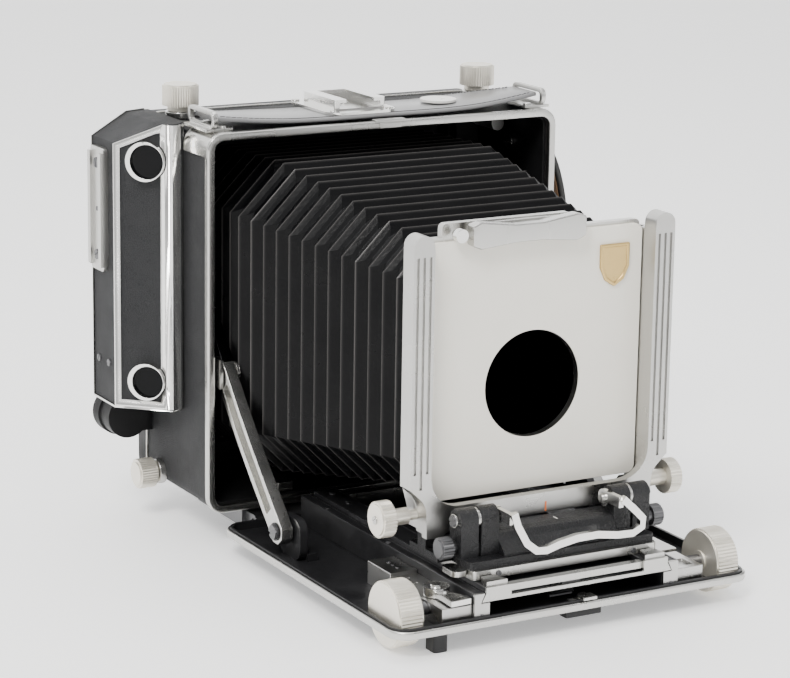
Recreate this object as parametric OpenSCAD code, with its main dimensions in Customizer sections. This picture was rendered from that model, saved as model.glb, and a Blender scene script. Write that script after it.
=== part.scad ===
// Folding technical field camera, bed open, standard run out to the front of the bed.
// Millimetres. Front of the camera faces -Y, +X is to the right seen from the front, +Z is up.
// The origin is the mouth of the tripod socket on the underside of the base plate.

/* [Body] */
// Width of the body box over its metal rims
body_w = 162; // [150:1:172]
// Underside of the body box
body_z0 = 13.8; // [12:0.2:16]
// Top of the body box
body_z1 = 170.2; // [160:0.2:176]
// Front face of the body box
body_y0 = -37.7; // [-42:0.1:-34]
// Rear face of the body box
body_y1 = 24; // [20:0.5:28]
// Radius of the body's corners
body_r = 7; // [4:0.5:10]
// Metal thickness of the body box
wall = 3.2; // [2.5:0.1:4]

/* [Lens board] */
// Radius of the shutter hole, size 1
hole_r = 20.8; // [17:0.1:32]
// Height of the hole's centre
hole_z = 87; // [80:0.5:94]
// Front face of the lens board
board_y = -152; // [-156:0.5:-148]
// Width of the lens board
board_w = 96; // [90:0.5:99]
// Bottom edge of the lens board
board_z0 = 45.8; // [45:0.1:48]
// Top edge of the lens board
board_z1 = 144.8; // [140:0.1:146]

/* [Bed] */
// Front edge of the bed
bed_y0 = -190.8; // [-196:0.2:-185]
// Half of the bed's width over its rim
bed_hw = 79.1; // [76:0.1:80.5]
// Height of the bed's rim
bed_z1 = 12.1; // [11:0.1:13]
// Underside of the bed tray
bed_z0 = 6.8; // [6.4:0.1:7]

/* [Back] */
// Side of the square revolving back
back_side = 146; // [138:1:150]

/* [Hidden] */
mid_z = 92;           // optical centre of the back
hinge_y = -40;
hinge_z = 9;
tilt_y = -152;
tilt_z = 42.2;
pin_y = -37.2;        // strut guide pin on the body
pin_z = 72.9;
ear_y = -86;          // strut pivot on the bed
ear_z = 20;
strut_a = atan2(pin_z - ear_z, pin_y - ear_y);
shaft_y = -174;       // focusing shaft
shaft_z = 13.4;
pm = 0.6;             // rack module
pt = 12;              // pinion teeth
pr = pm * pt / 2;     // pinion pitch radius
rod_x = 70.5;

// ---------- helpers ----------
function rr(w, h, r, cx = 0, cy = 0, n = 5) = [for (q = [0:3]) for (i = [0:n])
  let (a = 90 * q + 90 * i / n, sx = (q == 0 || q == 3) ? 1 : -1, sy = q < 2 ? 1 : -1)
  [cx + sx * (w / 2 - r) + r * cos(a), cy + sy * (h / 2 - r) + r * sin(a)]];
function rb(x0, y0, x1, y1, r, n = 5) = rr(x1 - x0, y1 - y0, r, (x0 + x1) / 2, (y0 + y1) / 2, n);
module alongy(y0, y1) { translate([0, y1, 0]) rotate([90, 0, 0]) linear_extrude(y1 - y0) children(); }
module alongx(x0, x1) { translate([x0, 0, 0]) rotate([90, 0, 90]) linear_extrude(x1 - x0) children(); }
module alongz(z0, z1) { translate([0, 0, z0]) linear_extrude(z1 - z0) children(); }
module box(x0, x1, y0, y1, z0, z1) { translate([x0, y0, z0]) cube([x1 - x0, y1 - y0, z1 - z0]); }
module cx(r, x0, x1, y, z) { translate([x0, y, z]) rotate([0, 90, 0]) cylinder(r = r, h = x1 - x0, $fn = 48); }
module cy(r, y0, y1, x, z) { translate([x, y1, z]) rotate([90, 0, 0]) cylinder(r = r, h = y1 - y0, $fn = 48); }
module cz(r, z0, z1, x, y) { translate([x, y, z0]) cylinder(r = r, h = z1 - z0, $fn = 48); }
module knurl(r, n, d) { polygon([for (i = [0:2 * n - 1]) let (a = 180 * i / n, q = i % 2 == 0 ? r : r - d) [q * cos(a), q * sin(a)]]); }
module kx(r, n, x0, x1, y, z, d = 0.5) { translate([x0, y, z]) rotate([90, 0, 90]) linear_extrude(x1 - x0) knurl(r, n, d); }
module kz(r, n, z0, z1, x, y, d = 0.5) { translate([x, y, z0]) linear_extrude(z1 - z0) knurl(r, n, d); }
module mir() { children(); mirror([1, 0, 0]) children(); }
silver = [0.75, 0.75, 0.73]; black = [0.09, 0.09, 0.09]; cream = [0.82, 0.79, 0.7]; leather = [0.2, 0.2, 0.2];

// ---------- body ----------
bc = (body_z0 + body_z1) / 2; bh = body_z1 - body_z0;
module body_shell() color(black) difference() {
  union() {
    alongy(body_y0 + 3.5, body_y1 - 5) difference() {
      polygon(rr(body_w - 3.4, bh - 3.4, body_r - 1.7, 0, bc));
      polygon(rr(body_w - 3.4 - 2 * wall + 1.6, bh - 2 * wall - 1, 4, 0, bc));
    }
    alongy(body_y1 - 5, body_y1 - 1) difference() {
      polygon(rr(body_w - 3.4, bh - 3.4, body_r - 1.7, 0, bc));
      polygon(rr(132, 132, 4, 0, mid_z));
    }
  }
  for (x = [-rod_x, rod_x]) for (z = [21, 160]) cy(3.15, body_y1 - 6, body_y1, x, z);
  for (x = [-rod_x, rod_x]) cz(2.6, body_z1 - 6, body_z1 + 1, x, 10.4);
  for (s = [-1, 1]) cx(2.6, s > 0 ? 74 : -84, s > 0 ? 84 : -74, 10.4, 20);
}
module body_rims() color(silver) {
  alongy(body_y0, body_y0 + 3.5) difference() {
    polygon(rr(body_w, bh, body_r, 0, bc));
    polygon(rr(body_w - 2 * wall, bh - 2 * wall, body_r - 3, 0, bc));
  }
  alongy(body_y1 - 1, body_y1) difference() {
    polygon(rr(body_w, bh, body_r, 0, bc));
    polygon(rr(134, 134, 4, 0, mid_z));
    for (x = [-rod_x, rod_x]) for (z = [21, 160]) translate([x, z]) circle(r = 3.2, $fn = 48);
  }
}
module body_leather() color(leather) difference() {
  alongy(body_y0 + 3.5, body_y1 - 1) difference() {
    polygon(rr(body_w - 1.8, bh - 1.8, body_r - 0.9, 0, bc));
    polygon(rr(body_w - 3.4, bh - 3.4, body_r - 1.7, 0, bc));
  }
  for (x = [-rod_x, rod_x]) cz(8, body_z1 - 3, body_z1 + 1, x, 10.4);
  for (s = [-1, 1]) cx(5.3, s > 0 ? 78 : -84, s > 0 ? 84 : -78, 10.4, 20);
  box(-85, -78, -12.2, 30, 53.3, 172);
}
module base_plate() color(silver) {
  difference() {
    union() {
      alongz(0, body_z0 + 0.9) polygon(rb(-34, -31, 34, 22.5, 6));
      alongz(5.6, body_z0 + 0.9) mir() polygon([[28, -33.9], [64, -33.9], [64, 8], [28, 20]]);
    }
    cz(4, -1, 12, 0, 0);
  }
  mir() difference() {
    union() { cx(3.4, 30, 62, hinge_y, hinge_z); box(30, 62, hinge_y, -33.9, 6, 12.3); }
    cx(1.55, 29, 63, hinge_y, hinge_z);
  }
}
module body_track() color(silver) {
  mir() box(40, 47, -33, 12, body_z0 + 4.2, body_z0 + 8);
  box(-40, 40, 6, 12, body_z0 + 4.2, body_z0 + 6);
}
module body_screws() color(silver) mir() for (p = [[-8, 152], [-8, 60]]) difference() { cx(3, 75.6, 76.9, p[0], p[1]); box(75, 76, p[0] - 3.2, p[0] + 3.2, p[1] - 0.4, p[1] + 0.4); }
hp = [[-79.4, -12], [-83.2, -15], [-86.2, -15], [-104, 1.6], [-104, 22.6], [-79.4, 22.6]];
module rangefinder_housing() color(leather) intersection() {
  alongz(53.5, 172) polygon(hp);
  alongy(-20, 30) polygon([[-79, 53.5], [-104.5, 53.5], [-104.5, 162], [-89.1, 170.8], [-79, 171.6]]);
}
module on_face() { translate([-86.2, -15, 0]) rotate([0, 0, 137]) children(); }
win_u = 10.3; win_z = [156, 65.1]; win_r = [8.1, 7.7];
module housing_trim() color(silver) difference() {
  union() {
    alongz(52.7, 53.5) polygon([[-80.2, -12.5], [-83.2, -15.9], [-86.6, -15.9], [-104.8, 1.2], [-104.8, 23], [-80.2, 23]]);
    alongz(53.5, 170.8) polygon([[-83.2, -15], [-86.2, -15], [-88, -13.33], [-88.7, -14], [-86.4, -16.1], [-82.8, -16.1], [-80.2, -13.2], [-80.2, -12.66]]);
    on_face() alongy(0, 0.8) difference() {
      polygon([[2.2, 53.5], [24.6, 53.5], [24.6, 162.2], [4, 170.8], [2.2, 170.8]]);
      polygon([[4.6, 56.4], [21.8, 56.4], [21.8, 160.6], [7, 167], [4.6, 167.6]]);
    }
    alongy(22.6, 23) polygon([[-81.1, 53.5], [-104.8, 53.5], [-104.8, 162.3], [-89.4, 171.4], [-81.1, 172]]);
  }
  for (k = [0, 1]) on_face() translate([win_u, 3, win_z[k]]) rotate([90, 0, 0]) cylinder(r = win_r[k] + 0.3, h = 6, $fn = 48);
}
module at_win(k) { on_face() translate([win_u, 0, win_z[k]]) rotate([90, 0, 180]) children(); }
module window_bezels() color(silver) for (k = [0, 1]) at_win(k) difference() {
  cylinder(r = win_r[k], h = 3.8, $fn = 48);
  translate([0.85, 0, 1]) cylinder(r = win_r[k] - 1.1, h = 3, $fn = 48);
}
module windows() color([0.2, 0.25, 0.3]) for (k = [0, 1]) at_win(k) translate([0.85, 0, 1]) cylinder(r = win_r[k] - 1.1, h = 0.9, $fn = 48);
module side_rail() color(silver) difference() {
  union() {
    alongx(-106, -104) polygon(rb(8, 108, 21, 159, 2));
    alongx(-107.4, -106) { polygon([[8, 110], [10.6, 110], [10.6, 157], [8, 157]]); polygon([[18.4, 110], [21, 110], [21, 157], [18.4, 157]]); }
  }
  for (z = [114.5, 152.5]) cx(1.6, -107, -105.2, 14.5, z);
}
module eyepiece() color(black) difference() {
  union() { cy(9.2, 17, 32.5, -91.5, 43.3); cy(10, 26, 32, -91.5, 43.3); box(-97, -80.2, 18.5, 22.6, 36, 52.6); }
  cy(6.6, 30.5, 33, -91.5, 43.3);
}
module accessory_shoe() color(silver) difference() {
  union() {
    alongz(body_z1 + 2.3, body_z1 + 3.4) polygon(rb(-22.5, -31, 9.5, 10, 7));
    alongz(body_z1 + 3.4, body_z1 + 7.8) polygon(rb(-18, -25, 5.6, 3, 1));
    for (p = [[-18, 6.5], [5, 6.5]]) cz(2.4, body_z1 - 0.9, body_z1 + 2.3, p[0], p[1]);
  }
  box(-15.6, 3.2, -26, 0.6, body_z1 + 4, body_z1 + 6.4);
  box(-12.6, 0.2, -26, 0.6, body_z1 + 6, body_z1 + 9);
}
module strap_lugs() color(silver) mir() {
  box(68, 80, -33.5, -12.5, body_z1, body_z1 + 1.2);
  difference() {
    alongx(75.2, 77.4) polygon(rb(-35, body_z1 + 1.1, -11, body_z1 + 8.2, 3));
    alongx(74, 79) polygon(rb(-33, body_z1 + 2.4, -13, body_z1 + 6.4, 1.2));
  }
}
function sag(t) = [73 * t, body_z1 + 1.25 + (abs(t) > 0.35 ? 3.2 * pow((abs(t) - 0.35) / 0.65, 2) : 0)];
module top_strap() color(leather) alongy(-32, -1) polygon(concat(
  [for (i = [-12:12]) let (p = sag(i / 12)) [p[0], p[1] + 0.9]], [for (i = [12:-1:-12]) let (p = sag(i / 12)) [p[0], p[1] - 0.8]]));
module strap_snap() color(silver) cz(7.6, body_z1 + 2.9, body_z1 + 3.9, 36, -16);
module grip_lugs() color(silver) for (z = [60, 150]) { box(80.1, 83.6, -2, 14, z - 3, z + 3); cy(1.4, -3.5, 15.5, 86.2, z); box(83, 86.2, -1.8, -0.2, z - 1, z + 1); box(83, 86.2, 12.2, 13.8, z - 1, z + 1); }
function garc(t) = [88.4 + 20 * pow(cos(88 * t), 0.42), 105 + 50 * t];
module hand_grip() color(leather) alongy(-6, 18) polygon(concat(
  [for (i = [-10:10]) let (p = garc(i / 10)) [p[0] + 1.4, p[1]]], [for (i = [10:-1:-10]) let (p = garc(i / 10)) [p[0] - 1.4, p[1] * 0.985 + 1.6]]));
module strut_pins() color(silver) mir() { cx(2.5, 69.2, 75.8, pin_y, pin_z); cx(4.2, 68.9, 69.6, pin_y, pin_z); box(75.6, 76.9, pin_y - 3, -22, pin_z - 6, pin_z + 6); }
// Bellows as one plain closed solid; its folds are a surface matter.
function bring(y, hw, z0, z1, c) = [[-hw + c, y, z0], [hw - c, y, z0], [hw, y, z0 + c], [hw, y, z1 - c], [hw - c, y, z1], [-hw + c, y, z1], [-hw, y, z1 - c], [-hw, y, z0 + c]];
module bellows() color(black) polyhedron(
  points = concat(bring(-145.2, 47.5, 50, 140, 9), bring(-38, 67.8, 29, 156, 17), bring(body_y1 - 5.3, 65.6, 29, 155, 16)),
  faces = concat([[0, 1, 2, 3, 4, 5, 6, 7]], [[23, 22, 21, 20, 19, 18, 17, 16]], [for (k = [0, 8]) for (i = [0:7]) let (j = (i + 1) % 8) [k + j, k + i, k + 8 + i, k + 8 + j]]));
module lock_collars() color(silver) {
  mir() difference() { cz(6.2, body_z1 - 0.9, body_z1 + 1.8, rod_x, 10.4); cz(2.6, body_z1 - 2, body_z1 + 3, rod_x, 10.4); }
  mir() difference() { cx(5.2, 79.3, 82.4, 10.4, 20); cx(2.6, 79, 83, 10.4, 20); }
}
module lock_t(s) color(cream) { kz(7.5, 44, body_z1 + 4.2, body_z1 + 12.4, s * rod_x, 10.4, 0.35); cz(6.8, body_z1 + 12.4, body_z1 + 13, s * rod_x, 10.4); cz(5.4, body_z1 + 2.1, body_z1 + 4.2, s * rod_x, 10.4); cz(2.3, body_z1 - 5.4, body_z1 + 2.1, s * rod_x, 10.4); }
module lock_b(s) color(cream) mirror([s > 0 ? 0 : 1, 0, 0]) { kx(6.3, 36, 84, 91, 10.4, 20, 0.35); cx(5, 91, 91.7, 10.4, 20); cx(3.8, 82.7, 84, 10.4, 20); cx(2.3, 75.4, 82.7, 10.4, 20); }
module back_lock_knob_tl() lock_t(-1);
module back_lock_knob_tr() lock_t(1);
module back_lock_knob_bl() lock_b(-1);
module back_lock_knob_br() lock_b(1);

// ---------- bed ----------
bed_y1 = -44.6;
function bring2(d) = rb(-bed_hw + d, bed_y0 + d, bed_hw - d, bed_y1 + 0.1 - d, max(1, 8 - d));
module bed_tray() color(black) {
  difference() {
    union() {
      alongz(bed_z0, bed_z0 + 2) polygon(bring2(4));
      alongz(bed_z0 + 1.4, bed_z0 + 2) polygon(bring2(1.3));
      alongz(bed_z0 + 1.9, bed_z1) difference() { polygon(bring2(1.3)); polygon(bring2(2.5)); }
      alongz(0, bed_z0 + 0.5) polygon(rb(-61, -186.6, -55, -179, 1.5));
      alongz(4.4, bed_z0 + 0.5) polygon(rb(-4, -186.6, 12, -181, 1));
    }
    mir() box(64.2, 75.7, shaft_y - 13, shaft_y + 13, bed_z0 - 0.5, 30);
    mir() box(61, 76, shaft_y - 3, shaft_y + 3, 9, 18);
  }
  box(-29.6, 29.6, bed_y1 + 0.1, hinge_y, 6, 11.6);
  box(-29.6, 29.6, -52, hinge_y - 1, 6, 8.1);
  cx(3.4, -29.6, 29.6, hinge_y, hinge_z);
  cx(1.5, -61, 61, hinge_y, hinge_z);
}
module bed_rim() color(silver) {
  alongz(bed_z1 - 3.9, bed_z1 - 0.8) difference() { polygon(bring2(0)); polygon(bring2(1.3)); }
}
module guide2(g) { polygon([[38.6, bed_z0 + 2], [45.2 + g, bed_z0 + 2], [45.2 + g, 20.6], [40.6, 20.6], [42.4, 16.9], [38.6, 16.9]]); }
module bed_guides() color(black) mir() difference() {
  alongy(-187, -50) guide2(0);
  cx(2.56, 38, 46, shaft_y, shaft_z);
}
module lock_block() color(silver) difference() {
  union() {
    box(-58, -45.3, -186.6, -146, bed_z0 + 2, 16.5);
    box(-57, -45.3, -146, -128, bed_z0 + 2, 18);
    mirror([1, 0, 0]) alongy(-188.2, -187) guide2(0);
  }
  for (i = [0:1]) box(-59, -50.5, -150 - i * 6, -149 - i * 6, 15.6, 18);
  cx(2.56, -59, -45, shaft_y, shaft_z);
}
module stop_bracket() color(silver) difference() {
  union() {
    box(45.3, 58, -186.6, -168, bed_z0 + 2, 16.5);
    box(45.3, 53, -168, -130, bed_z0 + 2, 15);
    box(47, 60, -166, -150, 15, 16.8);
    box(48, 52, -146, -134, 15, 21.5);
    alongy(-188.2, -187) guide2(0);
  }
  cx(2.56, 45, 59, shaft_y, shaft_z);
  box(49.5, 55, -184, -176.6, 15.4, 18);
}
module strut_ears() color(black) mir() {
  alongx(65.4, 68.8) polygon(rb(ear_y - 9, bed_z0 + 2, ear_y + 9, ear_z + 5.5, 5));
  box(61, 65.4, ear_y - 9, ear_y + 9, bed_z0 + 2, bed_z0 + 5);
  cx(2, 68.8, 75.4, ear_y, ear_z);
  cx(3.6, 75.2, 75.6, ear_y, ear_z);
}
module focus_bars() color(black) mir() {
  alongy(-187, -52) polygon([[30, 17.2], [42, 17.2], [40.3, 20.4], [40.3, 22.3], [30, 22.3]]);
}
module focus_plate() color(black) {
  box(-30, 30, -183.6, -60, 18.6, 20.4);
}
module bar_ends() color(silver) {
  box(-30, 30, -186.8, -183.6, 19.4, 22);
  box(-29.4, 29.4, -188.2, -186.9, 17.2, 18.6);
  box(-30, 30, -60, -56, 18.6, 21.6);
  mir() alongy(-188.2, -187) polygon([[29.4, 17.2], [42, 17.2], [40.3, 20.4], [40.3, 22.6], [29.4, 22.6]]);
  mir() alongz(22.3, 24.4) polygon([[30.5, -187], [39.5, -187], [38, -180.4], [32.6, -180.4]]);
}
rack_y0 = -186; rack_n = 66;
module focus_rack() color(silver) alongx(-4, 4) union() {
  polygon([[-183.4, 17.8], [-60.5, 17.8], [-60.5, 18.6], [-183.4, 18.6]]);
  for (i = [-6:59]) let (c = shaft_y + PI * pm * (i + 0.5)) if (c > -182.6 && c < -61.5)
    polygon([[c - 0.62, 17.85], [c - 0.26, 16.5], [c + 0.26, 16.5], [c + 0.62, 17.85]]);
}
module pinion2() polygon([for (i = [0:pt - 1]) for (q = [[-11, pr - 0.72], [-4.2, pr + 0.5], [4.2, pr + 0.5], [11, pr - 0.72]])
  let (a = 90 + 360 * i / pt + q[0]) [q[1] * cos(a), q[1] * sin(a)]]);
module focus_shaft() color(silver) {
  cx(2.5, -64.7, -5, shaft_y, shaft_z); cx(2.5, 5, 64.7, shaft_y, shaft_z);
  translate([-5, shaft_y, shaft_z]) rotate([90, 0, 90]) linear_extrude(10) pinion2();
}
module focus_knobs() color(cream) mir() difference() {
  union() { kx(12.6, 60, 66, 74.8, shaft_y, shaft_z, 0.45); cx(11.9, 65.2, 66, shaft_y, shaft_z); cx(11.9, 74.8, 75.3, shaft_y, shaft_z); cx(4, 64.7, 65.2, shaft_y, shaft_z); }
}
module bed_lock_lever() color(silver) translate([-51.6, -171, 0]) {
  cz(5, 16.8, 20.2, 0, 0);
  alongz(17.2, 19.2) polygon([[-3.4, 2], [3.4, 2], [2.2, -6], [6, -13], [5.6, -16], [-3.2, -16.6], [-2.6, -8]]);
  cz(2.2, 20.2, 20.9, 0, 0);
}
module bed_latch() color(silver) { box(-3, 9, -187, -184.8, 9.1, 11.6); box(0, 6, -192.2, -187, 12.4, 13.6); box(1.5, 4.5, -187, -185.4, 9.1, 13.6); }
module strut(s) color(silver) mirror([s > 0 ? 0 : 1, 0, 0]) translate([0, ear_y, ear_z]) rotate([strut_a, 0, 0]) difference() {
  union() {
    alongx(69.9, 75) polygon(concat([[-2, -5]], [for (i = [0:8]) [6 + 11 * i, -5 - 1.6 * sin(180 * i / 8) * (i < 8 ? 1 : 0)]], [[99, -5], [101, -2], [101, 2], [99, 5]], [for (i = [8:-1:0]) [6 + 11 * i, 5 - 1.6 * sin(180 * i / 8)]], [[-2, 5], [-5, 2], [-5, -2]]));
  }
  alongx(71.4, 76) polygon([[9, -2.6], [48, -4.2], [66, -3.4], [66, 1.4], [48, 1.4], [9, 2.4]]);
  cx(2.07, 69, 76, 0, 0);
  alongx(69, 76) polygon(rb(72 - 3.6, -3.6, 96, 3.6, 3.5));
}
module strut_left() strut(-1);
module strut_right() strut(1);

// ---------- carriage and standard ----------
module carriage_plate() color(silver) {
  difference() { alongz(22.7, 26.1) polygon(rb(-41, -179.8, 41, -134, 2)); box(-16, 16, -150, -130, 22, 27); }
  alongz(24, 26.1) polygon(rb(-47.4, -177, -41, -166, 2.8));
}
module ear2() { polygon(concat([[-172.2, 29]], [for (i = [0:8]) [-168 + 4.2 * cos(180 - 22.5 * i), 43 + 4.4 * sin(22.5 * i)]], [[-163.8, 29]])); }
module carriage_yoke() color(black) {
  difference() {
    union() {
      alongz(26.1, 29) polygon(rb(-41, -177.6, 41, -164, 1.5));
      alongz(26.1, 29) polygon([[-47.2, -164], [47.2, -164], [47.2, -143], [-47.2, -143]]);
      alongx(-25.6, 25.6) polygon([[-176.4, 28], [-176.4, 30], [-172.4, 34], [-171.6, 36.8], [-169.6, 38], [-162.7, 38], [-162.7, 28]]);
      mir() alongx(42, 47.2) polygon(concat([[-155, 28]], [for (i = [0:8]) [-152 + 3 * cos(180 - 22.5 * i), tilt_z + 3 * sin(22.5 * i)]], [[-149, 28]]));
      mir() for (x = [25.6, 34.4]) alongx(x, x + 7.6) ear2();
      mir() box(33.2, 34.4, -171, -165, 28, 34);
    }
    mir() cx(1.56, 41, 48, tilt_y, tilt_z);
    mir() cx(1.6, 20, 48.4, -168, 43);
    mir() cx(1.66, 37, 42.4, -168, 33);
  }
}
module yoke_washers() color(silver) mir() { cx(1.6, 22, 43, -168, 43); cx(2.6, 42, 43, -168, 43); cx(4.1, 33.25, 34.35, -168, 43); }
bp = [[-24.2, 46.5], [-22.6, 41.5], [-18.4, 34.2], [-14, 30.8], [-9.5, 30.4], [-4, 31.9], [4, 33.2], [13, 33.3], [22, 31.9], [29, 31.6], [33.2, 33.6], [33.4, 36.8], [29.4, 40.8], [24.2, 45.6]];
function pn(i) = let (a = bp[max(0, i - 1)], b = bp[min(len(bp) - 1, i + 1)], d = b - a, l = norm(d)) [-d[1] / l, d[0] / l];
module bail_lever() color(silver) {
  alongy(-180.8, -178.6) polygon(concat([for (i = [0:len(bp) - 1]) bp[i] + 1.45 * pn(i)], [for (i = [len(bp) - 1:-1:0]) bp[i] - 1.45 * pn(i)]));
  mir() difference() {
    union() { cx(3.4, 23.2, 25.2, -168, 43); box(23.2, 25.2, -179, -168, 41.8, 46); }
    cx(1.66, 22, 26, -168, 43);
  }
}
function arc2(cx0, cy0, r, a0, a1, n) = [for (i = [0:n]) let (a = a0 + (a1 - a0) * i / n) [cx0 + r * cos(a), cy0 + r * sin(a)]];
module uface() polygon(concat(
  [[0, 38], [38, 38], [43.6, 34.6], [50, 34.6], [50.2, 44]], arc2(59.2, 44, 9, 180, 127, 4), [[57.3, 54.4], [57.3, 143.6]], arc2(52.9, 145.6, 4.4, 10, 170, 8), [[48.4, 143.6], [48.4, 60]],
  arc2(36.4, 58, 12, 0, -90, 8), [[0, 46]]));
module standard_frame() color(silver) difference() {
  union() {
    mir() alongy(-160.5, -157) uface();
    mir() alongy(-157, -152.8) polygon(concat([[47.8, 36], [50, 36], [50.2, 44]], arc2(59.2, 44, 9, 180, 127, 4), [[57.3, 54.4], [57.3, 143.6]], arc2(52.9, 145.6, 4.4, 10, 170, 8), [[48.4, 143.6], [48.4, 46], [47.8, 44]]));
    mir() alongy(-152.8, -145.6) polygon([[47.8, 37], [50, 37], [50.2, 44], [52.4, 52], [52.4, 143], [48.4, 143], [48.4, 46], [47.8, 44]]);
  }
  mir() box(47, 50.5, -149.6, -146.8, 45.9, 150);
  mir() for (g = [[50.2, 60], [52.9, 54], [55.5, 60]]) box(g[0] - 0.55, g[0] + 0.55, -161, -159.3, g[1], 142);
  mir() cx(2.08, 48.6, 51, tilt_y, tilt_z);
}
module pivot_pins() color(silver) mir() cx(1.5, 41.2, 47.8, tilt_y, tilt_z);
module tk(s) color(cream) mirror([s > 0 ? 0 : 1, 0, 0]) { kx(7, 34, 61.5, 66.6, tilt_y, tilt_z, 0.4); cx(6, 66.6, 67.2, tilt_y, tilt_z); cx(3.2, 54, 61.5, tilt_y, tilt_z); cx(2, 48.8, 54, tilt_y, tilt_z); }
module tilt_knob_left() tk(-1);
module tilt_knob_right() tk(1);
module cs(s) color(silver) mirror([s > 0 ? 0 : 1, 0, 0]) { kx(4.3, 22, 44.6, 49, -168, 33, 0.3); cx(3.4, 49, 49.6, -168, 33); cx(2.6, 42.6, 44.6, -168, 33); cx(1.6, 37.6, 42.6, -168, 33); }
module carriage_screw_left() cs(-1);
module carriage_screw_right() cs(1);

// ---------- lens board ----------
module board_carrier() color(silver) difference() {
  union() {
    alongy(-149.8, -146.6) polygon(rb(-48, 46.2, 48, 146.2, 2));
    alongy(-149.8, -146.6) polygon(rb(-39.5, 140, 17, 151.4, 2));
    mir() box(48, 50.2, -149.3, -147.1, 46.2, 141);
    alongy(-152.4, -149.8) polygon([[-29, 145.2], [17, 145.2], [17, 151], [-29, 151]]);
  }
  alongy(-151, -146) polygon(rb(-40, 54, 40, 136, 6));
}
module lens_board() color([0.9, 0.88, 0.82]) difference() {
  alongy(board_y, -149.8) polygon(rb(-board_w / 2, board_z0, board_w / 2, board_z1, 3));
  cy(hole_r, board_y - 1, -149, 0, hole_z);
}
module board_badge() color([0.72, 0.58, 0.3]) difference() {
  alongy(board_y - 1, board_y) polygon([[28.8, 138], [41.8, 138], [41.8, 129], [39.5, 124], [35.3, 121.4], [31.1, 124], [28.8, 129]]);
  alongy(board_y - 1.1, board_y - 0.5) polygon([[30, 136.8], [40.6, 136.8], [40.6, 129.3], [38.6, 125], [35.3, 122.8], [32, 125], [30, 129.3]]);
}
module board_latch() color(silver) alongy(-157.6, -152.7) polygon([[-30.5, 143.6], [-30.5, 151.2], [-27, 152.4], [-12, 150.4], [0, 150.4], [15, 152.4], [18.8, 151.2], [18.8, 143.6], [15, 142], [0, 143.4], [-12, 143.4], [-27, 142]]);
module latch_button() color(silver) { cy(2.6, -158, -155.4, -35.6, 148); cy(1.5, -155.4, -152.7, -35.6, 148); }

// ---------- back ----------
module back_frame() color(black) alongy(body_y1 + 0.4, body_y1 + 9.4) difference() {
  polygon(rr(body_w - 2, bh - 2, body_r - 1, 0, bc));
  polygon(rr(130, 130, 4, 0, mid_z));
}
module back_rods() color(silver) for (x = [-rod_x, rod_x]) for (z = [21, 160]) cy(3.05, -8, body_y1 + 0.4, x, z);
module revolving_back() color(black) difference() {
  union() { alongy(body_y1 + 9.8, body_y1 + 19) polygon(rr(back_side, back_side, 6, 0, mid_z)); }
  alongy(body_y1 + 9, body_y1 + 20) polygon(rr(128, 103, 2, 0, mid_z));
}
module glass_frame() color(black) alongy(body_y1 + 19.4, body_y1 + 25.4) difference() {
  polygon(rr(140, 116, 3, 0, mid_z));
  polygon(rr(120, 95, 1.5, 0, mid_z));
}
module ground_glass() color([0.8, 0.85, 0.85]) alongy(body_y1 + 20.4, body_y1 + 22.4) polygon(rr(120, 95, 1.5, 0, mid_z));
module folding_hood() color(black) {
  alongy(body_y1 + 26, body_y1 + 29) polygon(rr(126, 102, 3, 0, mid_z - 0.5));
  cx(2.2, -50, 50, body_y1 + 28.2, mid_z + 51.4);
}

body_shell();
body_rims();
body_leather();
base_plate();
body_track();
body_screws();
rangefinder_housing();
housing_trim();
window_bezels();
windows();
side_rail();
eyepiece();
accessory_shoe();
strap_lugs();
top_strap();
strap_snap();
grip_lugs();
hand_grip();
strut_pins();
bellows();
lock_collars();
back_lock_knob_tl();
back_lock_knob_tr();
back_lock_knob_bl();
back_lock_knob_br();
bed_tray();
bed_rim();
bed_guides();
lock_block();
stop_bracket();
strut_ears();
focus_bars();
focus_plate();
focus_rack();
bar_ends();
focus_knobs();
focus_shaft();
bed_lock_lever();
bed_latch();
strut_left();
strut_right();
carriage_plate();
carriage_yoke();
yoke_washers();
bail_lever();
standard_frame();
pivot_pins();
tilt_knob_left();
tilt_knob_right();
carriage_screw_left();
carriage_screw_right();
board_carrier();
lens_board();
board_badge();
board_latch();
latch_button();
back_frame();
back_rods();
revolving_back();
glass_frame();
ground_glass();
folding_hood();
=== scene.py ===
import bpy, bmesh, math
from mathutils import Vector, Matrix


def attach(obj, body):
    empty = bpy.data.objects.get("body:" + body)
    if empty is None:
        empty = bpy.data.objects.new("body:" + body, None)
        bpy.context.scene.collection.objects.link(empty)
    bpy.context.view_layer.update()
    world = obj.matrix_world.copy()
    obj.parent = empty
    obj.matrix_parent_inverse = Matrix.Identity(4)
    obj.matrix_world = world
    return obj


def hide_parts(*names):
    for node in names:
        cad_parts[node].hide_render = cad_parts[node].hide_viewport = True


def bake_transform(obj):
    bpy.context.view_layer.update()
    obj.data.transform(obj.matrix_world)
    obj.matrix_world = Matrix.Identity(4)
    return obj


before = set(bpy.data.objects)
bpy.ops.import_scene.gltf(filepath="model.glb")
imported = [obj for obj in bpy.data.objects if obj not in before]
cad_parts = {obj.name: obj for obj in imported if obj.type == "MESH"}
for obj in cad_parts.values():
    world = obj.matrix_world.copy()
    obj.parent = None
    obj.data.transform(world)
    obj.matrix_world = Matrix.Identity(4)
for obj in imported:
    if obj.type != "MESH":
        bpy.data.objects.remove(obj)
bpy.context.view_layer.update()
MM = 0.001
coll = bpy.context.scene.collection


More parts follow.
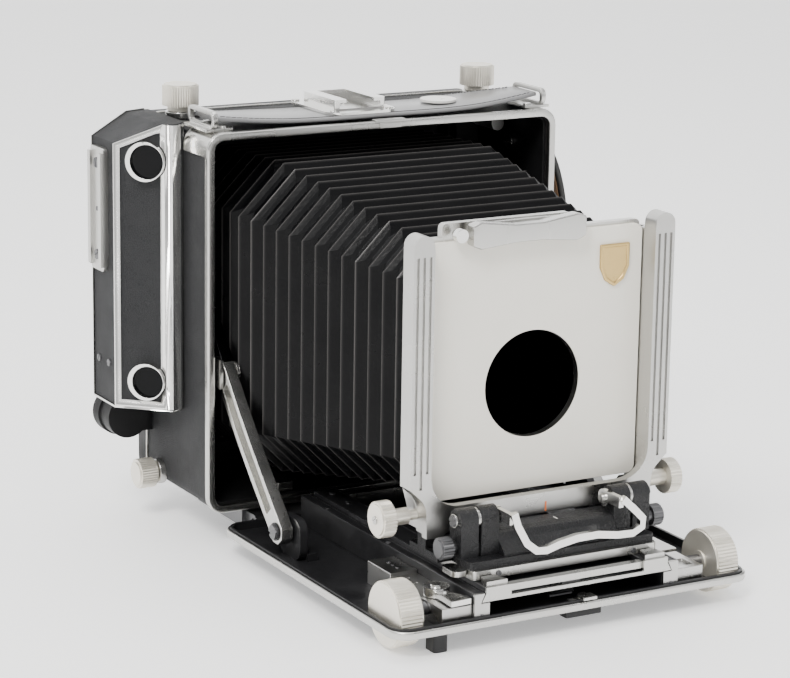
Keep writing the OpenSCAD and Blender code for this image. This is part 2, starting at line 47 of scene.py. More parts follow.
# ---------------------------------------------------------------- materials
def mat(name, color, metallic=0.0, rough=0.5, rough_var=0.12, var=0.12, scale=60.0, bump=0.05, bscale=900.0,
        kind="noise", stretch=(1, 1, 1), coat=0.0, edge=None, spec=0.5, dist=0.0006, warm=None):
    m = bpy.data.materials.new(name)
    m.use_nodes = True
    nt = m.node_tree
    nt.nodes.clear()
    N = nt.nodes.new
    L = nt.links.new
    out = N("ShaderNodeOutputMaterial")
    b = N("ShaderNodeBsdfPrincipled")
    L(b.outputs[0], out.inputs[0])
    tc = N("ShaderNodeTexCoord")
    mp = N("ShaderNodeMapping")
    mp.inputs["Scale"].default_value = stretch
    L(tc.outputs["Object"], mp.inputs["Vector"])
    n1 = N("ShaderNodeTexNoise")
    n1.inputs["Scale"].default_value = scale
    n1.inputs["Detail"].default_value = 6
    L(mp.outputs[0], n1.inputs["Vector"])
    # colour
    mx = N("ShaderNodeMix")
    mx.data_type = "RGBA"
    mx.inputs["A"].default_value = (*[c * (1 - var) for c in color], 1)
    mx.inputs["B"].default_value = (*[min(1, c * (1 + var)) for c in (warm or color)], 1)
    L(n1.outputs["Fac"], mx.inputs["Factor"])
    col = mx.outputs["Result"]
    # roughness
    mr = N("ShaderNodeMapRange")
    mr.inputs["From Min"].default_value = 0.3
    mr.inputs["From Max"].default_value = 0.7
    mr.inputs["To Min"].default_value = max(0.04, rough - rough_var)
    mr.inputs["To Max"].default_value = min(1, rough + rough_var)
    L(n1.outputs["Fac"], mr.inputs["Value"])
    L(mr.outputs[0], b.inputs["Roughness"])
    # bump
    if kind == "grain":
        v = N("ShaderNodeTexVoronoi")
        v.feature = "DISTANCE_TO_EDGE"
        v.inputs["Scale"].default_value = bscale
        L(tc.outputs["Object"], v.inputs["Vector"])
        r = N("ShaderNodeMapRange")
        r.inputs["From Max"].default_value = 0.12
        L(v.outputs["Distance"], r.inputs["Value"])
        h = r.outputs[0]
        mg = N("ShaderNodeMix")
        mg.data_type = "RGBA"
        mg.inputs["A"].default_value = (*[c * 0.55 for c in color], 1)
        L(r.outputs[0], mg.inputs["Factor"])
        L(col, mg.inputs["B"])
        col = mg.outputs["Result"]
    elif kind == "crackle":
        v = N("ShaderNodeTexNoise")
        v.inputs["Scale"].default_value = bscale
        v.inputs["Detail"].default_value = 3
        v.inputs["Distortion"].default_value = 1.5
        L(tc.outputs["Object"], v.inputs["Vector"])
        h = v.outputs["Fac"]
    else:
        v = N("ShaderNodeTexNoise")
        v.inputs["Scale"].default_value = bscale
        v.inputs["Detail"].default_value = 4
        L(mp.outputs[0], v.inputs["Vector"])
        h = v.outputs["Fac"]
    bp = N("ShaderNodeBump")
    bp.inputs["Strength"].default_value = bump
    bp.inputs["Distance"].default_value = dist
    L(h, bp.inputs["Height"])
    L(bp.outputs[0], b.inputs["Normal"])
    # edge: a lighter colour mixed in along the 'edge' point attribute, a painted highlight on the bellows fold ridges
    if edge:
        at = N("ShaderNodeAttribute")
        at.attribute_name = "edge"
        pw = N("ShaderNodeMath")
        pw.operation = "POWER"
        pw.inputs[1].default_value = edge[1]
        L(at.outputs["Fac"], pw.inputs[0])
        me = N("ShaderNodeMix")
        me.data_type = "RGBA"
        me.inputs["B"].default_value = (*edge[0], 1)
        L(pw.outputs[0], me.inputs["Factor"])
        L(col, me.inputs["A"])
        col = me.outputs["Result"]
    L(col, b.inputs["Base Color"])
    b.inputs["Metallic"].default_value = metallic
    b.inputs["Coat Weight"].default_value = coat
    b.inputs["Coat Roughness"].default_value = 0.2
    b.inputs["Specular IOR Level"].default_value = spec
    return m


satin = mat("satin", (0.55, 0.545, 0.525), 1.0, 0.28, 0.08, 0.07, 45, 0.04, 2600, stretch=(1, 1, 0.25))
chrome = mat("chrome", (0.78, 0.775, 0.755), 1.0, 0.17, 0.06, 0.05, 40, 0.02, 2400)
cast = mat("cast", (0.52, 0.515, 0.50), 1.0, 0.31, 0.08, 0.07, 55, 0.10, 2200)
knobm = mat("knob", (0.84, 0.79, 0.68), 0.8, 0.38, 0.08, 0.12, 120, 0.05, 2800, warm=(0.78, 0.75, 0.68))
beige = mat("beige", (0.60, 0.53, 0.40), 0.85, 0.42, 0.08, 0.12, 90, 0.05, 2200)
leather = mat("leather", (0.020, 0.0205, 0.022), 0, 0.66, 0.08, 0.15, 70, 0.55, 1150, kind="grain", dist=0.0003, spec=0.32)
black = mat("black", (0.006, 0.006, 0.0065), 0, 0.5, 0.12, 0.2, 60, 0.08, 1700, spec=0.25)
anod = mat("anod", (0.011, 0.011, 0.012), 0.0, 0.42, 0.12, 0.25, 80, 0.06, 1800, spec=0.4)
crackle = mat("crackle", (0.008, 0.008, 0.009), 0, 0.34, 0.1, 0.2, 80, 0.9, 750, kind="crackle", coat=0.05, dist=0.0006, spec=0.4)
# bellows: black leather with a painted highlight colour on the outer fold ridges
bellm = mat("bellows_leather", (0.0014, 0.0014, 0.0018), 0, 0.34, 0.1, 0.4, 55, 0.4, 600, edge=((0.07, 0.067, 0.065), 26.0), dist=0.0003, spec=0.13)
bellin = mat("bellows_inner", (0.006, 0.006, 0.006), 0, 0.9, 0.05, 0.2, 90, 0.2, 1300)
strapm = mat("strap_leather", (0.19, 0.19, 0.193), 0, 0.34, 0.08, 0.15, 50, 0.12, 900, coat=0.15, dist=0.0003)
gripm = mat("grip_leather", (0.018, 0.017, 0.016), 0, 0.5, 0.1, 0.2, 70, 0.3, 700, dist=0.0003)
brown = mat("brown_leather", (0.16, 0.085, 0.04), 0, 0.7, 0.1, 0.35, 160, 0.3, 900, dist=0.0003)
board = mat("board", (0.82, 0.79, 0.71), 0.0, 0.42, 0.08, 0.05, 35, 0.05, 1500, coat=0.05)
badge = mat("badge", (0.62, 0.44, 0.18), 1.0, 0.32, 0.06, 0.15, 150, 0.05, 2000)
white = mat("white", (0.78, 0.77, 0.73), 0.0, 0.35, 0.08, 0.05, 90, 0.05, 1500)
orange = mat("orange", (0.75, 0.20, 0.06), 0.0, 0.5, 0.1, 0.1, 200, 0.05, 1500)
darksteel = mat("darksteel", (0.16, 0.16, 0.165), 1.0, 0.4, 0.1, 0.1, 90, 0.05, 1800)
glassm = mat("darkglass", (0.001, 0.0012, 0.0016), 0.0, 0.06, 0.02, 0.2, 30, 0.0, 400, spec=0.12)
ggm = mat("ground_glass", (0.55, 0.58, 0.57), 0.0, 0.55, 0.1, 0.05, 30, 0.25, 3000)
floorm = mat("floor", (0.92, 0.92, 0.915), 0.0, 0.6, 0.05, 0.015, 4, 0.02, 300)
fb = next(n for n in floorm.node_tree.nodes if n.type == "BSDF_PRINCIPLED")
fb.inputs["Emission Color"].default_value = (1, 1, 1, 1)
fb.inputs["Emission Strength"].default_value = 0.45
backm = mat("backdrop", (0.92, 0.92, 0.915), 0.0, 0.6, 0.05, 0.015, 4, 0.02, 300)
fb = next(n for n in backm.node_tree.nodes if n.type == "BSDF_PRINCIPLED")
fb.inputs["Emission Color"].default_value = (1, 1, 1, 1)
fb.inputs["Emission Strength"].default_value = 1.4

# the strut: satin steel below its guide pin, near-black colour above it (object z above 77.5 mm)
strutm = satin.copy()
strutm.name = "strut_steel"
nt = strutm.node_tree
b = next(n for n in nt.nodes if n.type == "BSDF_PRINCIPLED")
tc = nt.nodes.new("ShaderNodeTexCoord")
sp = nt.nodes.new("ShaderNodeSeparateXYZ")
gt = nt.nodes.new("ShaderNodeMath")
gt.operation = "GREATER_THAN"
gt.inputs[1].default_value = 0.0775
nt.links.new(tc.outputs["Object"], sp.inputs[0])
nt.links.new(sp.outputs["Z"], gt.inputs[0])
old = b.inputs["Base Color"].links[0].from_socket
mx = nt.nodes.new("ShaderNodeMix")
mx.data_type = "RGBA"
mx.inputs["B"].default_value = (0.012, 0.012, 0.013, 1)
nt.links.new(gt.outputs[0], mx.inputs["Factor"])
nt.links.new(old, mx.inputs["A"])
nt.links.new(mx.outputs["Result"], b.inputs["Base Color"])

MAT = {
    "body_shell": black, "body_rims": satin, "body_leather": leather, "base_plate": darksteel, "body_track": satin, "body_screws": chrome,
    "rangefinder_housing": leather, "housing_trim": chrome, "window_bezels": chrome, "windows": glassm, "side_rail": satin,
    "eyepiece": black, "accessory_shoe": chrome, "strap_lugs": satin, "top_strap": strapm, "strap_snap": white, "grip_lugs": satin,
    "hand_grip": gripm, "strut_pins": satin, "bellows": bellm, "lock_collars": satin,
    "back_lock_knob_tl": knobm, "back_lock_knob_tr": knobm, "back_lock_knob_bl": knobm, "back_lock_knob_br": knobm,
    "bed_tray": anod, "bed_rim": satin, "bed_guides": anod, "lock_block": cast, "stop_bracket": cast, "strut_ears": anod,
    "focus_bars": anod, "focus_plate": anod, "focus_rack": darksteel, "bar_ends": satin, "focus_knobs": knobm, "focus_shaft": darksteel,
    "bed_lock_lever": chrome, "bed_latch": satin, "strut_left": strutm, "strut_right": strutm, "carriage_plate": satin,
    "carriage_yoke": crackle, "yoke_washers": satin, "bail_lever": chrome, "standard_frame": cast, "pivot_pins": darksteel,
    "tilt_knob_left": knobm, "tilt_knob_right": knobm, "carriage_screw_left": darksteel, "carriage_screw_right": darksteel,
    "board_carrier": satin, "lens_board": board, "board_badge": badge, "board_latch": satin, "latch_button": chrome,
    "back_frame": black, "back_rods": satin, "revolving_back": leather, "glass_frame": anod, "ground_glass": ggm, "folding_hood": leather,
}
THICK = {"body_shell": 0.2, "standard_frame": 0.7, "lens_board": 0.5, "bed_rim": 0.6, "body_rims": 0.8, "focus_rack": 0.05, "focus_shaft": 0.05,
         "board_latch": 0.6, "bail_lever": 0.6, "carriage_yoke": 0.6, "strut_left": 0.5, "strut_right": 0.5}


def finish_mesh(o, w=0.3, weld=True):
    if weld:
        m = o.modifiers.new("weld", "WELD")
        m.merge_threshold = 0.000004
    b = o.modifiers.new("bevel", "BEVEL")
    b.width = w * MM
    b.segments = 2
    b.limit_method = "ANGLE"
    b.angle_limit = math.radians(38)
    b.use_clamp_overlap = True
    n = o.modifiers.new("wn", "WEIGHTED_NORMAL")
    n.keep_sharp = False
    n.weight = 50


for name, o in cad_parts.items():
    o.data.materials.clear()
    o.data.materials.append(MAT[name])
    for p in o.data.polygons:
        p.use_smooth = True
    finish_mesh(o, THICK.get(name, 0.3))


# ---------------------------------------------------------------- helpers
def new(name, verts, faces, m, smooth=False, body=None, bevel=0.0):
    me = bpy.data.meshes.new(name)
    me.from_pydata([Vector(v) * MM for v in verts], [], faces)
    me.validate()
    me.materials.append(m)
    o = bpy.data.objects.new(name, me)
    coll.objects.link(o)
    for p in me.polygons:
        p.use_smooth = smooth
    if bevel:
        for p in me.polygons:
            p.use_smooth = True
        finish_mesh(o, bevel, weld=False)
    if body:
        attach(o, body)
    return o


def bm_obj(name, bm, m, body, smooth=False, bevel=0.0):
    me = bpy.data.meshes.new(name)
    bmesh.ops.recalc_face_normals(bm, faces=bm.faces)
    bm.to_mesh(me)
    bm.free()
    me.transform(Matrix.Scale(MM, 4))
    me.materials.append(m)
    for p in me.polygons:
        p.use_smooth = smooth or bevel > 0
    o = bpy.data.objects.new(name, me)
    coll.objects.link(o)
    if bevel:
        finish_mesh(o, bevel, weld=False)
    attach(o, body)
    return o


AX = {"x": Matrix(((0, 0, 1), (1, 0, 0), (0, 1, 0))), "y": Matrix(((1, 0, 0), (0, 0, -1), (0, 1, 0))), "z": Matrix.Identity(3)}


def add_prism(bm, pts, p0, p1, axis="z", at=(0, 0, 0), rot=None):
    """closed prism of 2D pts swept from p0 to p1 on axis, then rot, then moved to at."""
    R = AX[axis]
    rings = []
    for h in (p0, p1):
        ring = []
        for a, b in pts:
            v = R @ Vector((a, b, h)) if axis != "y" else Vector((a, h, b))
            if rot is not None:
                v = rot @ v
            ring.append(bm.verts.new(v + Vector(at)))
        rings.append(ring)
    n = len(pts)
    bm.faces.new(rings[0][::-1])
    bm.faces.new(rings[1])
    for i in range(n):
        j = (i + 1) % n
        bm.faces.new((rings[0][i], rings[0][j], rings[1][j], rings[1][i]))


def circ(r, n=28, c=(0, 0)):
    return [(c[0] + r * math.cos(2 * math.pi * i / n), c[1] + r * math.sin(2 * math.pi * i / n)) for i in range(n)]


def rect(a0, a1, b0, b1):
    return [(a0, b0), (a1, b0), (a1, b1), (a0, b1)]


def rrect(a0, a1, b0, b1, r, n=5):
    out = []
    for cxx, cyy, s in ((a1 - r, b1 - r, 0), (a0 + r, b1 - r, 90), (a0 + r, b0 + r, 180), (a1 - r, b0 + r, 270)):
        for i in range(n + 1):
            t = math.radians(s + 90 * i / n)
            out.append((cxx + r * math.cos(t), cyy + r * math.sin(t)))
    return out


def add_box(bm, x0, x1, y0, y1, z0, z1):
    add_prism(bm, rect(x0, x1, y0, y1), z0, z1)


def frame_z(n):
    """rotation taking +Z to n"""
    return Vector((0, 0, 1)).rotation_difference(Vector(n)).to_matrix()


def screws(name, body, items, m=None):
    """slotted screw heads: (x, y, z, normal, radius, slot angle)"""
    bm = bmesh.new()
    for x, y, z, nrm, r, ang in items:
        R = frame_z(nrm) @ Matrix.Rotation(math.radians(ang), 3, "Z")
        s = 0.16 * r
        t = 0.35 * r
        # head as two half discs either side of the slot over a base disc
        add_prism(bm, circ(r, 24), -0.3, t * 0.45, at=(x, y, z), rot=R)
        for sgn in (1, -1):
            half = [(s * sgn, -math.sqrt(max(r * r - s * s, 0)) * sgn)]
            a0 = math.asin(s / r)
            for i in range(13):
                th = -math.pi / 2 + a0 + (math.pi - 2 * a0) * i / 12
                half.append((r * 0.96 * math.cos(th) * sgn, r * 0.96 * math.sin(th) * sgn))
            half = half[1:]
            add_prism(bm, half, t * 0.45, t, at=(x, y, z), rot=R)
    return bm_obj(name, bm, m or chrome, body, bevel=0.08)


# ---------------------------------------------------------------- bellows
def bell_ring(y, d, phase):
    """octagonal ring at y; d is how far the pleat is set in from the outer line."""
    pts = [(-145.2, 49.5, 49.5, 141, 12), (-38, 68.2, 28.6, 156.5, 20), (18.6, 65.5, 29, 155, 17)]
    for (ya, wa, la, ha, ca), (yb, wb, lb, hb, cb) in zip(pts, pts[1:]):
        if y <= yb:
            break
    t = max(0, min(1, (y - ya) / (yb - ya)))
    w, lo, hi, c = (a + (b - a) * t for a, b in ((wa, wb), (la, lb), (ha, hb), (ca, cb)))
    w, lo, hi = w - d, lo + d, hi - d
    if phase:
        c = max(2.5, c - d * 1.5)
    return [(-w + c, y, lo), (w - c, y, lo), (w, y, lo + c), (w, y, hi - c), (w - c, y, hi), (-w + c, y, hi), (-w, y, hi - c), (-w, y, lo + c)]


PITCH = 8.18
ys = []
y = -145.2
while y < 18.6:
    ys.append(y)
    y += PITCH / 2
SEG, k = [], 0
for a, b, n in (("carrier", "standard", 1), ("standard", "carriage", 3), ("carriage", "focus_rail", 8), ("focus_rail", "bed", 4), ("bed", "body", 4)):
    SEG.append((a, b, -145.2 + PITCH * k, -145.2 + PITCH * (k + n)))
    k += n


def bellows_part(name, y0, y1, m, off=0.0):
    verts, faces, edge = [], [], []
    k = 0
    y = y0
    rows = []
    n = int(round((y1 - y0) / (PITCH / 2)))
    for i in range(n + 1):
        gi = round((y0 + 145.2) / (PITCH / 2)) + i
        yy = min(-145.2 + gi * PITCH / 2, 18.4)
        inner = gi % 2 == 1
        base = bell_ring(yy, (4.6 if inner else 0.0) + off, inner)
        rows.append((base, 0.0 if inner else 1.0))
    # subdivide each pleat face for a crisp light line on the fold: a painted highlight, a lighter colour along the
    # outer fold ridges
    full = []
    for (ra, ea), (rb_, eb) in zip(rows, rows[1:]):
        for t in (0.0, 0.12, 0.5, 0.88):
            sag = 0.25 * math.sin(math.pi * t)
            ring = []
            for p, q in zip(ra, rb_):
                v = Vector(p).lerp(Vector(q), t)
                c = Vector((0, v.y, 92))
                v = v + (c - v).normalized() * sag
                ring.append(v)
            full.append((ring, ea + (eb - ea) * t))
    full.append(([Vector(p) for p in rows[-1][0]], rows[-1][1]))
    for ring, e in full:
        for v in ring:
            verts.append(tuple(v))
            edge.append(e)
    for r in range(len(full) - 1):
        for i in range(8):
            j = (i + 1) % 8
            faces.append((r * 8 + j, r * 8 + i, (r + 1) * 8 + i, (r + 1) * 8 + j))
    o = new(name, verts, faces, m)
    at = o.data.attributes.new("edge", "FLOAT", "POINT")
    at.data.foreach_set("value", edge)
    return o


first = None
for i, (a, b, y0, y1) in enumerate(SEG):
    o = bellows_part(f"bellows_pleats_{i}", y0, y1, bellm)
    s = o.modifiers.new("solid", "SOLIDIFY")
    s.thickness = 0.0006
    s.offset = 0
    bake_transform(o)
    if i == 0:
        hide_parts("bellows")
# front mounting frame of the bellows
bm = bmesh.new()
ring_o = rrect(-47.5, 47.5, 47.5, 143.5, 4)
ring_i = rrect(-41, 41, 53, 137, 4)
for yy0, yy1 in ((-146.5, -145.0),):
    vo = [bm.verts.new((a, yy0, b)) for a, b in ring_o]; vi = [bm.verts.new((a, yy0, b)) for a, b in ring_i]
    wo = [bm.verts.new((a, yy1, b)) for a, b in ring_o]; wi = [bm.verts.new((a, yy1, b)) for a, b in ring_i]
    n = len(ring_o)
    for i in range(n):
        j = (i + 1) % n
        bm.faces.new((vo[i], vo[j], vi[j], vi[i])); bm.faces.new((wo[j], wo[i], wi[i], wi[j]))
        bm.faces.new((vo[j], vo[i], wo[i], wo[j])); bm.faces.new((vi[i], vi[j], wi[j], wi[i]))
bm_obj("bellows_front_frame", bm, black, "carrier", bevel=0.2)


# ---------------------------------------------------------------- straps
def ribbon(name, path, half, thick, m, axis=(0, 1, 0), round_=0.8, edge_mat=None, widths=None):
    """a strap: path of (x, z) points in one plane, half width along Y with centre y0."""
    verts, faces = [], []
    sec = [(-half, -thick / 2 + round_ * .4), (-half + round_, -thick / 2), (half - round_, -thick / 2), (half, -thick / 2 + round_ * .4),
           (half, thick / 2 - round_ * .4), (half - round_, thick / 2), (half * 0.5, thick / 2 + 0.25), (0, thick / 2 + 0.35), (-half * 0.5, thick / 2 + 0.25), (-half + round_, thick / 2), (-half, thick / 2 - round_ * .4)]
    n = len(path)
    for i, (px, py, pz) in enumerate(path):
        a = Vector(path[max(0, i - 1)]); b = Vector(path[min(n - 1, i + 1)])
        t = (b - a).normalized()
        side = Vector(axis)
        nrm = t.cross(side).normalized() * -1
        w = widths[i] if widths else 1.0
        for u, v in sec:
            verts.append(Vector((px, py, pz)) + side * (u * w) + nrm * v)
    k = len(sec)
    for i in range(n - 1):
        for j in range(k):
            jj = (j + 1) % k
            faces.append((i * k + j, i * k + jj, (i + 1) * k + jj, (i + 1) * k + j))
    faces.append(tuple(range(k))[::-1])
    faces.append(tuple((n - 1) * k + j for j in range(k)))
    return new(name, verts, faces, m, smooth=True)


TOPZ = 170.2
path, wd = [], []
for i in range(61):
    t = -1 + 2 * i / 60
    k = max(0.0, (abs(t) - 0.33) / 0.67)
    path.append((74.5 * t, -16.5 - 6.0 * k ** 3, TOPZ + 1.3 + 3.4 * k * k + (0.9 if t > 0 else 0.0) * k * k))
    wd.append(1.0 - 0.42 * max(0.0, (k - 0.35) / 0.65) ** 1.6)
strap = ribbon("carrying_strap", path, 15.6, 1.7, strapm, widths=wd)
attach(strap, "body"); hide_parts("top_strap")
bm = bmesh.new()
for s in (-1, 1):
    for i in range(1, 59):
        for q in (0, 1):
            a = Vector(path[i]); b = Vector(path[i + 1])
            c = a.lerp(b, 0.25 + 0.5 * q)
            w = wd[i]
            d = (b - a).normalized()
            nrm = Vector((-d.z, 0, d.x)).normalized()
            c = c + Vector((0, s * (15.6 * w - 1.7), 0)) + nrm * 0.95
            R = Matrix((d, nrm.cross(d), nrm)).transposed()
            add_prism(bm, rect(-0.5, 0.5, -0.14, 0.14), -0.1, 0.16, at=c, rot=R)
o = bm_obj("strap_stitches", bm, mat("thread", (0.05, 0.05, 0.05), 0, 0.8, 0.1, 0.2, 200, 0.2, 3000), "body")
pth, pin_ = [], []
for i in range(41):
    t = -1 + 2 * i / 40
    x = 87.2 + 21.0 * max(0, math.cos(math.pi / 2 * 0.98 * t)) ** 0.42
    z = 105 + 48 * t
    pth.append((x, 6, z))
grip = ribbon("side_grip", pth[::-1], 11.8, 2.8, gripm)
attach(grip, "body"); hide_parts("hand_grip")
inner = ribbon("side_grip_lining", [(x - 1.9, yy, z) for x, yy, z in pth[::-1]], 10.6, 0.9, brown, round_=0.3)
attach(inner, "body")

# ---------------------------------------------------------------- small details
screws("housing_screws", "body", [(-104.1, 8, 70, (-1, 0, 0), 1.5, 20), (-104.1, 18, 70, (-1, 0, 0), 1.5, 70),
       (-105.9, 14.5, 114.5, (-1, 0, 0), 2.2, 30), (-105.9, 14.5, 152.5, (-1, 0, 0), 2.2, 100), (-105.9, 14.5, 133.5, (-1, 0, 0), 1.0, 0)], darksteel)
screws("shoe_screws", "body", [(-20, 6, TOPZ + 3.4, (0, 0, 1), 1.8, 15), (7, 6, TOPZ + 3.4, (0, 0, 1), 1.8, 60), (-19.5, -26.5, TOPZ + 3.4, (0, 0, 1), 1.6, 80), (6.5, -26.5, TOPZ + 3.4, (0, 0, 1), 1.6, 10), (-6.2, -11, TOPZ + 4.0, (0, 0, 1), 1.8, 50)])
screws("lug_screws", "body", [(s * 71, yy, TOPZ + 1.2, (0, 0, 1), 1.7, 25) for s in (-1, 1) for yy in (-30, -16)])
screws("inner_screws", "body", [(s * 76.7, yy, z, (-s, 0, 0), 2.0, 35) for s in (-1, 1) for yy, z in ((-28, 30), (8, 105))], darksteel)
screws("yoke_screws", "carriage", [(s * 43.0, -168, 43, (s, 0, 0), 2.2, 20) for s in (-1, 1)] + [(s * 30, -179.9, 24.4, (0, -1, 0), 1.1, 20) for s in (-1, 1)], darksteel)
screws("block_screws", "bed", [(-51, -134, 18, (0, 0, 1), 1.0, 10), (-51, -137.5, 18, (0, 0, 1), 1.0, 80), (-51, -141, 18, (0, 0, 1), 1.0, 80), (50, -159, 16.8, (0, 0, 1), 1.8, 45), (56, -154, 16.8, (0, 0, 1), 1.3, 100),
       (-42, -188.3, 11.6, (0, -1, 0), 1.2, 30), (42, -188.3, 11.6, (0, -1, 0), 1.2, 60)] + [(s * 43.4, yy, 20.6, (0, 0, 1), 1.2, yy) for s in (-1, 1) for yy in (-120, -70)], darksteel)
screws("rail_screws", "focus_rail", [(s * 35, yy, 22.3, (0, 0, 1), 1.3, 70) for s in (-1, 1) for yy in (-72, -58)], darksteel)
screws("pin_caps", "body", [(s * 68.9, -37.2, 72.9, (-s, 0, 0), 3.4, 70) for s in (-1, 1)])
screws("ear_caps", "bed", [(s * 75.6, -86, 20, (s, 0, 0), 3.0, 20) for s in (-1, 1)], darksteel)
# painted highlight: thin lighter metal strips along the top edges of the rails
bm = bmesh.new()
for s in (-1, 1):
    add_box(bm, min(s * 44.3, s * 45.2), max(s * 44.3, s * 45.2), -186.9, -50, 20.55, 20.75)
    add_box(bm, min(s * 40.7, s * 41.4), max(s * 40.7, s * 41.4), -186.9, -50, 20.55, 20.75)
bm_obj("guide_edge_highlights", bm, darksteel, "bed", bevel=0.05)
# painted highlight: thin lighter metal strips along the top edges of the focus bars
bm = bmesh.new()
for s in (-1, 1):
    add_box(bm, min(s * 39.5, s * 40.3), max(s * 39.5, s * 40.3), -186.9, -52.2, 22.2, 22.42)
    add_box(bm, min(s * 30.0, s * 30.8), max(s * 30.0, s * 30.8), -183.0, -52.2, 22.2, 22.42)
bm_obj("bar_edge_highlights", bm, darksteel, "focus_rail", bevel=0.05)
# silver corner caps of the casting on the body's top corners
bm = bmesh.new()
for s in (-1, 1):
    cpts = [(s * 81.15, 160.5)] + [(s * (74 + 7.15 * math.cos(math.radians(q))), 163.2 + 7.15 * math.sin(math.radians(q))) for q in range(0, 91, 10)] + [(s * 70.0, 170.35)]
    ipts = [(s * 69.9, 169.6)] + [(s * (74 + 6.2 * math.cos(math.radians(q))), 163.2 + 6.2 * math.sin(math.radians(q))) for q in range(90, -1, -10)] + [(s * 80.3, 160.5)]
    add_prism(bm, cpts + ipts, -36.8, -15.2, "y")
bm_obj("corner_caps", bm, satin, "body", bevel=0.25)
# closing catch in the top rim
bm = bmesh.new()
add_box(bm, -6, 8, -37.9, -34.4, 169.4, 170.9)
add_box(bm, -4, 6, -38.1, -36.6, 167.2, 169.6)
bm_obj("rim_catch", bm, satin, "body", bevel=0.3)
screws("back_screws", "revolver", [(sx * 69, 43.0, 92 + sz * 69, (0, 1, 0), 2.2, 30) for sx in (-1, 1) for sz in (-1, 1)])
screws("hood_screws", "hood", [(sx * 52, 53.0, 92 + sz * 40, (0, 1, 0), 1.5, 50) for sx in (-1, 1) for sz in (-1, 1)])
# index marks on the standard and a plain scale on the bed
bm = bmesh.new()
add_box(bm, 1.8, 2.5, -160.62, -160.4, 38.6, 42.4)
bm_obj("index_mark", bm, orange, "standard")
bm = bmesh.new()
add_box(bm, 1.6, 2.1, -169.4, -166.6, 37.95, 38.08)
bm_obj("index_mark_base", bm, white, "carriage")
bm = bmesh.new()
for i in range(23):
    yy = -178 + i * 5
    add_box(bm, 41.8 + (0 if i % 4 == 0 else 0.9), 44.0, yy - 0.12, yy + 0.12, 20.5, 20.68)
bm_obj("bed_scale", bm, white, "bed")
screws("tilt_caps", "tilt_l", [(-67.2, -152, 42.2, (-1, 0, 0), 1.6, 35)], satin)
screws("tilt_caps_r", "tilt_r", [(67.2, -152, 42.2, (1, 0, 0), 1.6, 80)], satin)

# a liner ring at the lens board hole
bm = bmesh.new()
vo = [bm.verts.new((20.75 * math.cos(2 * math.pi * i / 64), -151.9, 87 + 20.75 * math.sin(2 * math.pi * i / 64))) for i in range(64)]
vi = [bm.verts.new((20.6 * math.cos(2 * math.pi * i / 64), -149.0, 87 + 20.6 * math.sin(2 * math.pi * i / 64))) for i in range(64)]
for i in range(64):
    j = (i + 1) % 64
    bm.faces.new((vo[i], vo[j], vi[j], vi[i]))
bm_obj("hole_wall", bm, satin, "carrier", smooth=True)

# ---------------------------------------------------------------- floor, light, camera
me = bpy.data.meshes.new("floor")
me.from_pydata([(-6, -5, 0), (6, -5, 0), (6, 4, 0), (-6, 4, 0)], [], [(0, 1, 2, 3)])
fl = bpy.data.objects.new("floor", me)
coll.objects.link(fl)
me.materials.append(floorm)
me = bpy.data.meshes.new("backdrop")
me.from_pydata([(-6, 4, 0), (6, 4, 0), (6, 4.4, 5), (-6, 4.4, 5)], [], [(0, 1, 2, 3)])
bd = bpy.data.objects.new("backdrop", me)
coll.objects.link(bd)
me.materials.append(backm)


def area(name, loc, target, size, power, color=(1, 1, 1), sy=None):
    l = bpy.data.lights.new(name, "AREA")
    l.energy = power
    l.size = size
    l.color = color
    if sy:
        l.shape = "RECTANGLE"
        l.size_y = sy
    o = bpy.data.objects.new(name, l)
    coll.objects.link(o)
    o.location = loc
    o.rotation_mode = "QUATERNION"
    o.rotation_quaternion = (Vector(target) - Vector(loc)).to_track_quat("-Z", "Y")
    return o


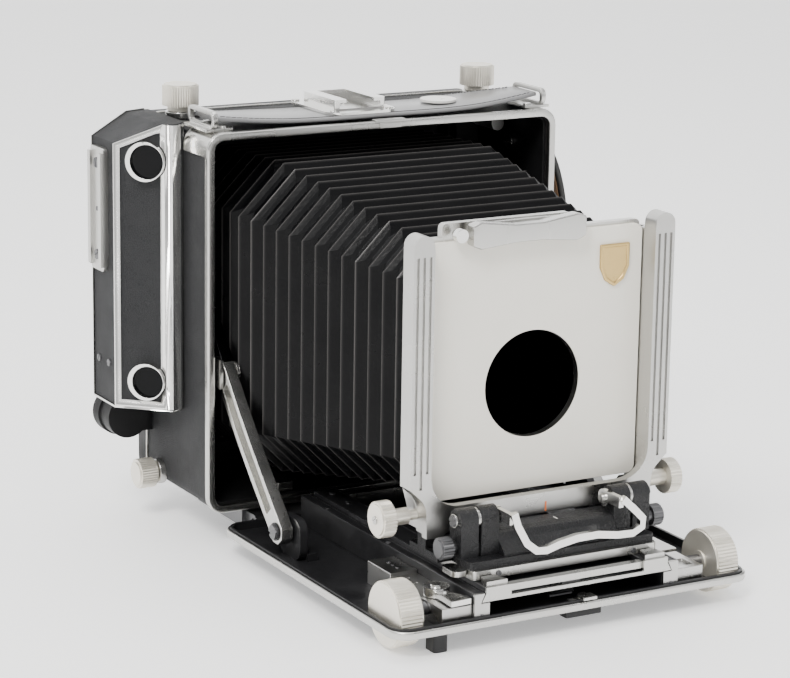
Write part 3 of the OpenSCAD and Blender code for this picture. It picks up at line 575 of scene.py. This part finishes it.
area("key", (-0.9, -0.8, 1.3), (0, -0.05, 0.08), 0.55, 27, (1, 0.985, 0.965))
area("fill", (1.3, -1.1, 0.7), (0, -0.1, 0.1), 0.9, 6, (0.97, 0.985, 1))
area("top", (0.1, 0.25, 1.5), (0, -0.05, 0.1), 1.2, 13)
w = bpy.data.worlds.new("w")
w.use_nodes = True
wt = w.node_tree
bg = wt.nodes["Background"]
bg.inputs[0].default_value = (1, 1, 1, 1)
tc = wt.nodes.new("ShaderNodeTexCoord")
sp = wt.nodes.new("ShaderNodeSeparateXYZ")
m1 = wt.nodes.new("ShaderNodeMath")
m1.operation = "MULTIPLY_ADD"
m1.inputs[1].default_value = 1.0
m1.inputs[2].default_value = 0.30
m2 = wt.nodes.new("ShaderNodeMath")
m2.operation = "MULTIPLY_ADD"
m2.inputs[1].default_value = -0.28
m3 = wt.nodes.new("ShaderNodeMath")
m3.operation = "MAXIMUM"
m3.inputs[1].default_value = 0.12
wt.links.new(tc.outputs["Generated"], sp.inputs[0])
wt.links.new(sp.outputs["Z"], m1.inputs[0])
wt.links.new(sp.outputs["X"], m2.inputs[0])
wt.links.new(m1.outputs[0], m2.inputs[2])
wt.links.new(m2.outputs[0], m3.inputs[0])
wt.links.new(m3.outputs[0], bg.inputs[1])
bpy.context.scene.world = w

cam = bpy.data.cameras.new("cam")
co = bpy.data.objects.new("cam", cam)
coll.objects.link(co)
cam.sensor_fit = "HORIZONTAL"
cam.sensor_width = 36
cam.lens = 36 * 2784.6240767 / 790
cam.shift_x = (395 - 402.56313745) / 790
cam.shift_y = (330.21867165 - 339) / 790
cam.clip_start, cam.clip_end = 0.05, 50
az, el, ro = math.radians(-29.65295218), math.radians(13.60313294), math.radians(0.92320254)
back = Vector((math.sin(az) * math.cos(el), -math.cos(az) * math.cos(el), math.sin(el)))
fwd = -back
right = fwd.cross(Vector((0, 0, 1))).normalized()
up = right.cross(fwd)
r2 = right * math.cos(ro) + up * math.sin(ro)
u2 = -right * math.sin(ro) + up * math.cos(ro)
T = Vector((-56.84361705, -152.0, 26.63847496 + 87.0))
loc = (T + back * 1021.155622885479) * MM
M = Matrix((r2, u2, back)).transposed().to_4x4()
M.translation = loc
co.matrix_world = M
bpy.context.scene.camera = co
